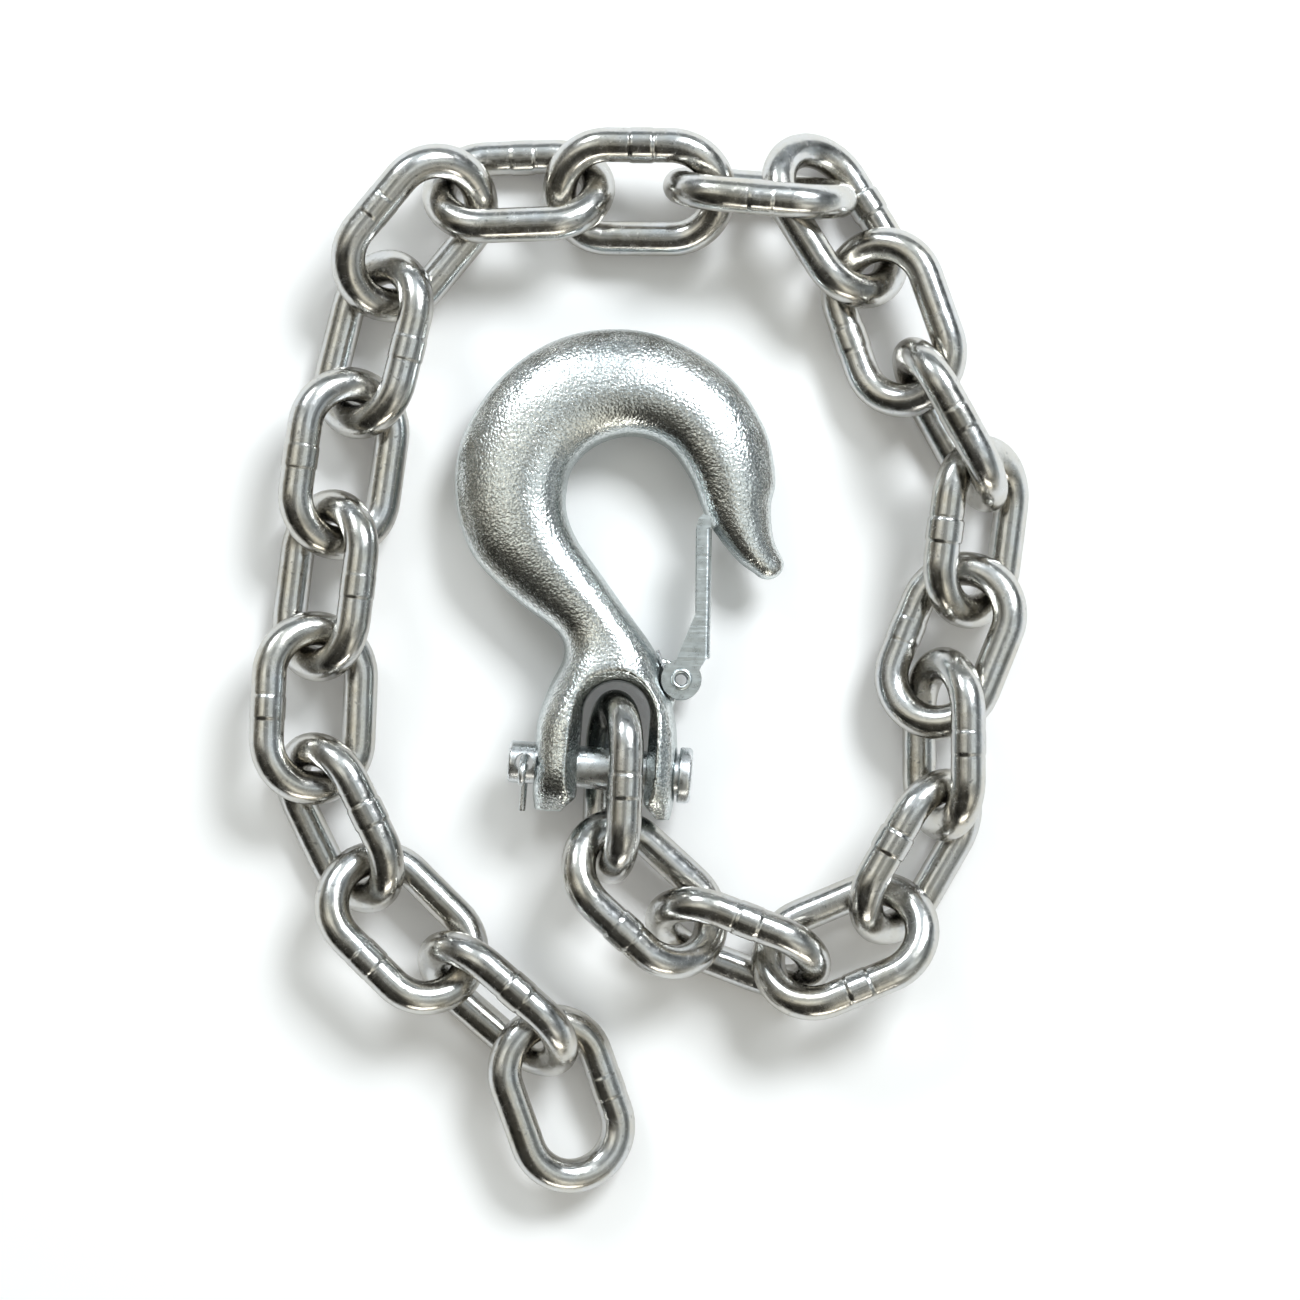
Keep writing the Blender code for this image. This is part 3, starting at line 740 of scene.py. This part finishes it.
def build_pin(material):
    """Turned pin with a rounded end and a rounded head, and the cotter's hole across it."""
    start = PIN_END_X + PIN_END_ROUND
    profile = [(PIN_END_X, AXIS_RADIUS), (PIN_END_X, PIN_RADIUS - PIN_END_ROUND)]
    profile += arc(start, PIN_RADIUS - PIN_END_ROUND, PIN_END_ROUND, 180, 90, 6)[1:]
    run = PIN_SHOULDER_X - start
    for k in range(1, PIN_SHANK_STEPS + 1):
        profile.append((start + run * k / PIN_SHANK_STEPS, PIN_RADIUS))
    shoulder = PIN_SHOULDER_X + PIN_SHOULDER_GAP + PIN_SHOULDER_ROUND
    profile += arc(shoulder, PIN_HEAD_RADIUS - PIN_SHOULDER_ROUND, PIN_SHOULDER_ROUND, 180, 90, 5)
    crown = PIN_HEAD_X - PIN_HEAD_ROUND
    profile += arc(crown, PIN_HEAD_RADIUS - PIN_HEAD_ROUND, PIN_HEAD_ROUND, 90, 0, 7)
    profile += [(PIN_HEAD_X, PIN_FACE_RING), (PIN_HEAD_X, AXIS_RADIUS)]
    pin = new_object("clevis_pin_turned", rod_along_x(profile, PIN_SIDES), HOOK)
    hole = disc_points(COTTER_X, 0.0, COTTER_HOLE_RADIUS, 40)
    combine(pin, prism(hole, -PIN_CUT_Z, PIN_CUT_Z), "DIFFERENCE")
    break_edges(pin, PIN_EDGE)
    return dress(pin, material, "pin", "clevis_pin", sharp=20)


def cotter_path():
    """Wire from the long tail up through the pin, round the leaning eye and back down."""
    half = COTTER_WIRE_RADIUS + COTTER_LEG_GAP
    splay = half + COTTER_SPLAY
    path = COTTER_LONG_TAIL + [(-splay, COTTER_BEND_Z)]
    path += [(-half, z) for z in COTTER_LEG_UP]
    path += arc(*COTTER_EYE, COTTER_EYE_RADIUS, *COTTER_EYE_SWEEP, 10)
    path += COTTER_EYE_RETURN + [(half, z) for z in COTTER_LEG_DOWN]
    path += [(splay, COTTER_BEND_Z)] + COTTER_SHORT_TAIL
    return spline([(COTTER_X, y, z) for y, z in path], 6)


def build_cotter(material):
    """Cotter of one round wire, which turns with the pin."""
    cotter = new_object("cotter_wire", tube(cotter_path(), COTTER_WIRE_RADIUS, 20), HOOK)
    break_edges(cotter, COTTER_EDGE, angle=60)
    return dress(cotter, material, "pin", "cotter_pin")


# ---------------------------------------------------------------- latch

def cheek_outline():
    """One cheek of the latch, stopping short of the bend along its back."""
    inset = BEND_RADIUS - CHEEK_OVERLAP
    right = [(BACK_TOP[0] - BEND_RADIUS + BACK_TOP_CORNER[0], BACK_TOP[1] + BACK_TOP_CORNER[1])]
    right += [(BACK_TOP[0] - inset, BACK_TOP[1]), (BACK_FOOT[0] - inset, BACK_FOOT[1] + BACK_FOOT_LIFT)]
    right += [(BACK_FOOT[0] - BEND_RADIUS / 2, BACK_FOOT[1]), CHEEK_HEEL]
    start = math.degrees(math.atan2(CHEEK_HEEL[1] - PIVOT_Y, CHEEK_HEEL[0] - PIVOT_X))
    left = CHEEK_LEFT[0]
    end = math.degrees(math.atan2(left[1] - PIVOT_Y, left[0] - PIVOT_X)) - 360
    disc = arc(PIVOT_X, PIVOT_Y, EAR_DISC_RADIUS, start, end, 48)
    return CHEEK_LEFT + CHEEK_TIP + right + disc[1:-1]


def bend_profile():
    """Section of the folded back: distance in from its outer face, and height."""
    face = CHANNEL_INNER + SHEET
    inner = BEND_RADIUS - SHEET
    points = arc(BEND_RADIUS, face - BEND_RADIUS, BEND_RADIUS, 90, 180, 8)
    points += arc(BEND_RADIUS, BEND_RADIUS - face, BEND_RADIUS, 180, 270, 8)
    points += arc(BEND_RADIUS, BEND_RADIUS - face, inner, 270, 180, 4)
    points += arc(BEND_RADIUS, face - BEND_RADIUS, inner, 180, 90, 4)
    return points


def build_latch(material):
    """Both cheeks, the bend along their back, and the rivet hole through them."""
    outline = cheek_outline()
    face = CHANNEL_INNER + SHEET
    latch = new_object("sheet_latch", prism(outline, CHANNEL_INNER, face), HOOK)
    combine(latch, prism(outline, -face, -CHANNEL_INNER), "UNION")
    top = np.array(BACK_TOP)
    foot = np.array(BACK_FOOT)
    inward = np.array([-(top - foot)[1], (top - foot)[0]])
    inward = inward / np.linalg.norm(inward)
    rings = []
    for end in (top, foot):
        rings.append([(*(end + inward * depth), z) for depth, z in bend_profile()])
    combine(latch, skin(rings), "UNION")
    hole = disc_points(PIVOT_X, PIVOT_Y, PIVOT_RADIUS + RIVET_PLAY, 40)
    combine(latch, prism(hole, -LATCH_CUT_Z, LATCH_CUT_Z), "DIFFERENCE")
    break_edges(latch, LATCH_EDGE)
    return dress(latch, material, "latch_gate", "latch", sharp=20)


def build_pivot(material):
    """Hollow rivet with its rims rolled over."""
    face = CHANNEL_INNER + SHEET
    rim = (PIVOT_HEAD_RADIUS - PIVOT_BORE_RADIUS) / 2
    middle = (PIVOT_HEAD_RADIUS + PIVOT_BORE_RADIUS) / 2
    roll = arc(face + RIVET_LIFT, middle, rim, 78, -90, 10)
    profile = [(-z, radius) for z, radius in reversed(roll)]
    profile += [(-face - RIVET_GRIP, PIVOT_RADIUS), (face + RIVET_GRIP, PIVOT_RADIUS)]
    profile += roll
    step = 2 * math.pi / RIVET_SIDES
    rings = []
    for k in range(RIVET_SIDES):
        c, s = math.cos(k * step), math.sin(k * step)
        rings.append([(PIVOT_X + radius * c, PIVOT_Y + radius * s, z) for z, radius in profile])
    pivot = new_object("latch_rivet", skin(rings, closed=True), HOOK)
    return dress(pivot, material, "hook", "latch_pivot")


def touch_angle(point, radius, way):
    """Angle where a straight leg through the point runs onto a circle round the pivot."""
    x, y = point
    return math.atan2(y, x) + way * math.acos(radius / math.hypot(x, y))


def spring_path():
    """Leg on the hook, coil, and leg along the latch; also the coil's lowest and highest Z."""
    low = BOSS_HIGH_Z + SPRING_WIRE_RADIUS + SPRING_LIFT
    pitch = 2 * SPRING_WIRE_RADIUS + SPRING_COIL_GAP
    start = touch_angle(SPRING_HOOK_LEG, SPRING_COIL_RADIUS, 1)
    end = touch_angle(SPRING_LATCH_LEG[0], SPRING_COIL_RADIUS, -1)
    sweep = (end - start) % (2 * math.pi) + 2 * math.pi * SPRING_FULL_TURNS
    coil = []
    for k in range(SPRING_STEPS + 1):
        ang = start + sweep * k / SPRING_STEPS
        coil.append((PIVOT_X + SPRING_COIL_RADIUS * math.cos(ang),
                     PIVOT_Y + SPRING_COIL_RADIUS * math.sin(ang),
                     low + pitch * sweep / (2 * math.pi) * k / SPRING_STEPS))
    top = coil[-1][2]
    enter = np.array(coil[0])
    leave = np.array(coil[-1])
    first = np.array((PIVOT_X + SPRING_HOOK_LEG[0], PIVOT_Y + SPRING_HOOK_LEG[1], low))
    last, tip = [np.array((PIVOT_X + x, PIVOT_Y + y, top)) for x, y in SPRING_LATCH_LEG]
    lead = [tuple(first + (enter - first) * t) for t in np.linspace(0.0, 0.9, 8)]
    tail = [tuple(leave + (last - leave) * t) for t in np.linspace(0.1, 1.0, 10)]
    return lead + coil + tail + [tuple(tip)], low, top


def build_spring(material):
    """Spring with one leg lying on the hook at one end of its coil and one along the latch at the
    other.
    """
    path, low, top = spring_path()
    spring = new_object("torsion_spring", tube(path, SPRING_WIRE_RADIUS, 14), HOOK)
    dress(spring, material, None, "latch_spring")
    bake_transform(spring)
    return spring


# ---------------------------------------------------------------- chain

def node_points(name):
    """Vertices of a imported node."""
    return np.array([vert.co for vert in frame["nodes"][name].data.vertices], dtype=float)


def link_places():
    """Each link's centre and its axes: along the chain, across to the left, and square up."""
    places = []
    before = np.array(HOOK.translation)
    for name in LINKS:
        points = node_points(name)
        _, turns = np.linalg.eigh(np.cov((points - points.mean(axis=0)).T))
        square, across, along = turns[:, 0], turns[:, 1], turns[:, 2]
        local = points @ turns
        centre = turns @ ((local.max(axis=0) + local.min(axis=0)) / 2)
        if along @ (centre - before) < 0:
            along = -along
        left = np.cross([0.0, 0.0, 1.0], along)
        if across @ left < 0:
            across = -across
        square = np.cross(along, across)
        matrix = Matrix(np.array([along, across, square]).T.tolist()).to_4x4()
        matrix.translation = Vector(centre)
        places.append(matrix @ Matrix.Scale(MM, 4))
        before = centre
    return places


def link_line():
    """Centre line of a link, with the side of the bar that each point lies on."""
    straight = HALF_LENGTH - HALF_WIDTH
    points = []
    for side in (1, -1):
        for k in range(BOW_STEPS + 1):
            ang = math.pi * k / BOW_STEPS - side * math.pi / 2
            points.append((side * straight + HALF_WIDTH * math.cos(ang), HALF_WIDTH * math.sin(ang), 0))
        for k in range(1, BAR_STEPS):
            points.append((side * straight * (1 - 2 * k / BAR_STEPS), side * HALF_WIDTH, side))
    return points


def weld_swell(distance, away):
    """Extra radius at a distance from the weld's middle, and how much of a collar it is.

    The collar has a groove on each side, the deeper one on the side that away points to.
    """
    edge = (WELD_HALF - abs(distance)) / WELD_EDGE
    collar = 0.5 + 0.5 * math.tanh(WELD_EDGE_STEEPNESS * edge)
    past = abs(distance) - WELD_HALF - WELD_GROOVE_OFFSET
    groove = math.exp(-(past / WELD_GROOVE_WIDTH) ** 2)
    depth = WELD_GROOVE if distance * away > 0 else WELD_GROOVE * WELD_GROOVE_SHALLOW
    return WELD_HEIGHT * collar - depth * groove, collar


def build_link(name, matrix, side, seed, material):
    """One link of round wire with its own weld, drawn at random from a fixed seed."""
    draw = random.Random(seed)
    middle = draw.uniform(-WELD_WANDER, WELD_WANDER)
    away = draw.choice((-1, 1))
    twist = draw.uniform(0, 2 * math.pi)
    strength = draw.uniform(WELD_FAINT, 1.0)
    line = link_line()
    radii = []
    heat = []
    for x, y, bar in line:
        swell, collar = weld_swell(x - middle, away) if bar == side else (0.0, 0.0)
        ring = []
        for i in range(LINK_SIDES):
            ang = 2 * math.pi * i / LINK_SIDES
            flash = WELD_TWO_LOBES * math.cos(2 * ang + twist)
            flash += WELD_THREE_LOBES * math.cos(3 * ang - twist)
            ring.append(WIRE / 2 + strength * swell + collar * flash)
        radii.append(ring)
        past = abs(x - middle) - WELD_HALF if bar == side else WELD_HEAT_REACH
        heat.append(min(1.0, max(0.0, 1.0 - past / WELD_HEAT_REACH)))
    bm = tube([(x, y, 0.0) for x, y, _ in line], radii, LINK_SIDES, closed=True)
    link = new_object(name.replace("chain_link", "welded_link"), bm, matrix)
    weld = link.data.attributes.new("weld", "FLOAT", "POINT")
    weld.data.foreach_set("value", [h for h in heat for _ in range(LINK_SIDES)])
    body = name.replace("chain_", "")
    return dress(link, material, body, name, sharp=None)


# ---------------------------------------------------------------- set, light and camera

def build_floor(material):
    """Square floor that belongs to the set, not to the part."""
    bm = bmesh.new()
    signs = ((-1, -1), (1, -1), (1, 1), (-1, 1))
    bm.faces.new([bm.verts.new((x * FLOOR_HALF, y * FLOOR_HALF, 0)) for x, y in signs])
    level = CAD_BOX[0][2] - FLOOR_DROP
    floor = new_object("floor", bm, Matrix.Translation((0.0, 0.0, level)))
    floor.data.materials.append(material)


def soft_light(name, place, size, power, color):
    """Rectangular area light that shines at the origin."""
    data = bpy.data.lights.new(name, "AREA")
    data.shape = "RECTANGLE"
    data.size = size[0]
    data.size_y = size[1]
    data.energy = power
    data.color = color
    light = bpy.data.objects.new(name, data)
    light.location = place
    light.rotation_euler = (-Vector(place)).to_track_quat("-Z", "Y").to_euler()
    bpy.context.scene.collection.objects.link(light)


def toward(tree, direction, aim):
    """Cosine of the angle between a direction and an aim."""
    node = tree.nodes.new("ShaderNodeVectorMath")
    node.operation = "DOT_PRODUCT"
    node.inputs[1].default_value = Vector(aim).normalized()
    tree.links.new(direction, node.inputs[0])
    return node.outputs["Value"]


def ranged(tree, value, low, high, to_low, to_high, interpolation="LINEAR"):
    """Map a value from one range to another."""
    node = tree.nodes.new("ShaderNodeMapRange")
    node.interpolation_type = interpolation
    node.inputs["From Min"].default_value = low
    node.inputs["From Max"].default_value = high
    node.inputs["To Min"].default_value = to_low
    node.inputs["To Max"].default_value = to_high
    tree.links.new(value, node.inputs["Value"])
    return node.outputs["Result"]


def tinted(tree, direction, color):
    """Multiply a colour by the walls' tint: warm on one side of the studio, cool on the other."""
    side = toward(tree, direction, WARM_TOWARD)
    tint = tree.nodes.new("ShaderNodeMix")
    tint.data_type = "RGBA"
    tint.inputs[6].default_value = (*COOL_WALL, 1.0)
    tint.inputs[7].default_value = (*WARM_WALL, 1.0)
    tree.links.new(ranged(tree, side, -WARM_BLEND, WARM_BLEND, 0.0, 1.0), tint.inputs[0])
    product = tree.nodes.new("ShaderNodeMix")
    product.data_type = "RGBA"
    product.blend_type = "MULTIPLY"
    product.inputs[0].default_value = 1.0
    tree.links.new(color, product.inputs[6])
    tree.links.new(tint.outputs[2], product.inputs[7])
    return product.outputs[2]


def height_color(tree, direction):
    """Colour of the surroundings by the height of a direction."""
    split = tree.nodes.new("ShaderNodeSeparateXYZ")
    tree.links.new(direction, split.inputs[0])
    ramp = tree.nodes.new("ShaderNodeValToRGB")
    tree.links.new(split.outputs["Z"], ramp.inputs[0])
    while len(ramp.color_ramp.elements) < len(WORLD_RAMP):
        ramp.color_ramp.elements.new(0.5)
    for element, (height, color) in zip(ramp.color_ramp.elements, WORLD_RAMP):
        element.position = height
        element.color = (*color, 1.0)
    return ramp.outputs["Color"]


def wall_strength(tree, direction):
    """Brightness of the surroundings: soft patches, and the dark corner."""
    patches = tree.nodes.new("ShaderNodeTexNoise")
    patches.inputs["Scale"].default_value = PATCH_SCALE
    patches.inputs["Detail"].default_value = 1.0
    tree.links.new(direction, patches.inputs["Vector"])
    level = ranged(tree, patches.outputs["Fac"], PATCH_LOW, PATCH_HIGH, PATCH_DIM, PATCH_BRIGHT)
    corner = toward(tree, direction, DARK_TOWARD)
    shade = ranged(tree, corner, DARK_EDGE, DARK_CORE, 1.0, DARK_LEVEL, "SMOOTHSTEP")
    product = tree.nodes.new("ShaderNodeMath")
    product.operation = "MULTIPLY"
    tree.links.new(level, product.inputs[0])
    tree.links.new(shade, product.inputs[1])
    return product.outputs[0]


def build_world():
    """Studio surroundings: grey walls, a bright ceiling dimmer at its middle, a dark corner."""
    world = bpy.data.worlds.new("studio")
    world.use_nodes = True
    tree = world.node_tree
    back = tree.nodes["Background"]
    direction = tree.nodes.new("ShaderNodeTexCoord").outputs["Generated"]
    color = tinted(tree, direction, height_color(tree, direction))
    tree.links.new(color, back.inputs["Color"])
    tree.links.new(wall_strength(tree, direction), back.inputs["Strength"])
    bpy.context.scene.world = world


def build_camera():
    """Camera looking straight down, as the photograph was taken."""
    data = bpy.data.cameras.new("overhead_camera")
    data.lens = CAMERA_LENS
    data.sensor_width = CAMERA_SENSOR
    camera = bpy.data.objects.new("overhead_camera", data)
    over = HOOK.translation + Vector((*CAMERA_SHIFT, 0.0))
    camera.location = (over.x, over.y, CAD_BOX[0][2] + CAMERA_HEIGHT)
    bpy.context.scene.collection.objects.link(camera)
    bpy.context.scene.camera = camera


build_camera()
build_hook(forged_zinc())
pin_finish = pin_zinc()
build_pin(pin_finish)
build_cotter(pin_finish)
latch_finish = latch_zinc()
build_latch(latch_finish)
build_pivot(latch_finish)
build_spring(spring_steel())
chain_finish = chain_zinc()
for number, (link_name, place) in enumerate(zip(LINKS, link_places())):
    build_link(link_name, place, WELD_SIDE[number], number + 1, chain_finish)
build_floor(pale_floor())
build_world()
for lamp in LIGHTS:
    soft_light(*lamp)
bpy.context.scene.view_settings.view_transform = "Standard"
